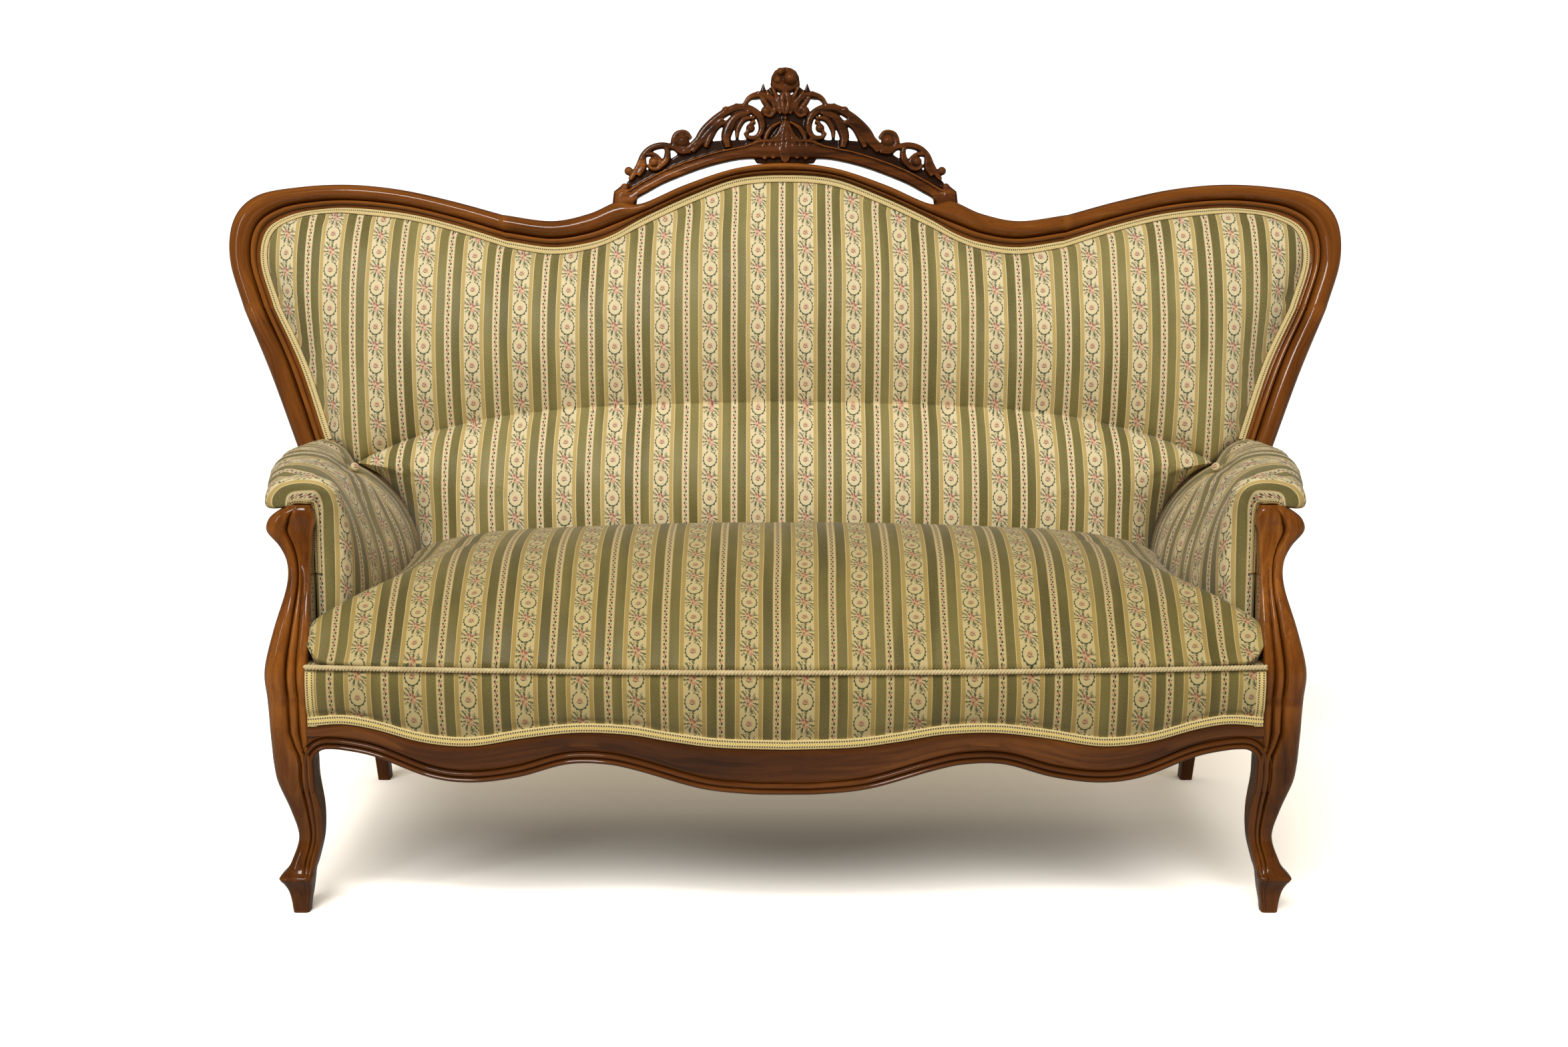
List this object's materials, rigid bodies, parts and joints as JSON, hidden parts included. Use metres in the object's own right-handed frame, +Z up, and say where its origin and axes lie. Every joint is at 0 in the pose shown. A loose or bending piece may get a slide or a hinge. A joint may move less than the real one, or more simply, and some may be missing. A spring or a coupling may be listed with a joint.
{
  "type": "cabriole sofa",
  "caption": "Upholstered settee with a moulded show-wood frame, cabriole front legs, a serpentine apron, a pierced carved crest, padded arms and a striped sprung seat.",
  "frame": {"origin": "on the floor, at the middle of the sofa's bounding box", "axes": "+X to the right in a view from the front, +Y towards the back, +Z up; the front looks along -Y"},
  "size_m": [1.8194, 0.83, 1.1959],
  "materials": {
    "show_wood": "polished mid-brown walnut, worn lighter on the edges",
    "frame_timber": "unpolished beech",
    "stripe_fabric": "olive, cream and yellow woven stripe with small flower sprays",
    "braid": "pale yellow openwork braid",
    "twisted_cord": "cream and olive twisted cord",
    "hessian": "plain coarse jute cloth",
    "webbing": "herringbone jute webbing",
    "black_lining": "black cotton lining",
    "spring_wire": "dull coppered steel wire",
    "screw_steel": "plain steel"
  },
  "bodies": {
    "root": {"front_rail": "show_wood", "left_front_leg": "show_wood", "right_front_leg": "show_wood", "left_arm_support": "show_wood", "right_arm_support": "show_wood", "left_back_post": "show_wood", "right_back_post": "show_wood", "left_side_rail": "frame_timber", "right_side_rail": "frame_timber", "back_seat_rail": "frame_timber", "web_batten": "frame_timber", "corner_blocks": "frame_timber", "block_screws": "screw_steel", "left_shoulder_rail": "show_wood", "right_shoulder_rail": "show_wood", "arch_rail": "show_wood", "crest_carving": "show_wood", "left_arm_rail": "frame_timber", "right_arm_rail": "frame_timber", "lower_back_rail": "frame_timber", "seat_webbing": "webbing", "seat_springs": "spring_wire", "spring_hessian": "hessian", "seat_cushion": "stripe_fabric", "front_border": "stripe_fabric", "seat_cord": "twisted_cord", "seat_gimp": "braid", "back_webbing": "webbing", "back_hessian": "hessian", "back_pad": "stripe_fabric", "lumbar_pad": "stripe_fabric", "back_gimp": "braid", "left_arm_pad": "stripe_fabric", "right_arm_pad": "stripe_fabric", "left_inside_arm": "stripe_fabric", "right_inside_arm": "stripe_fabric", "left_arm_gimp": "braid", "right_arm_gimp": "braid", "arm_buttons": "stripe_fabric", "outside_back": "stripe_fabric", "left_outside_arm": "stripe_fabric", "right_outside_arm": "stripe_fabric", "dust_cover": "black_lining"}
  },
  "joints": []
}
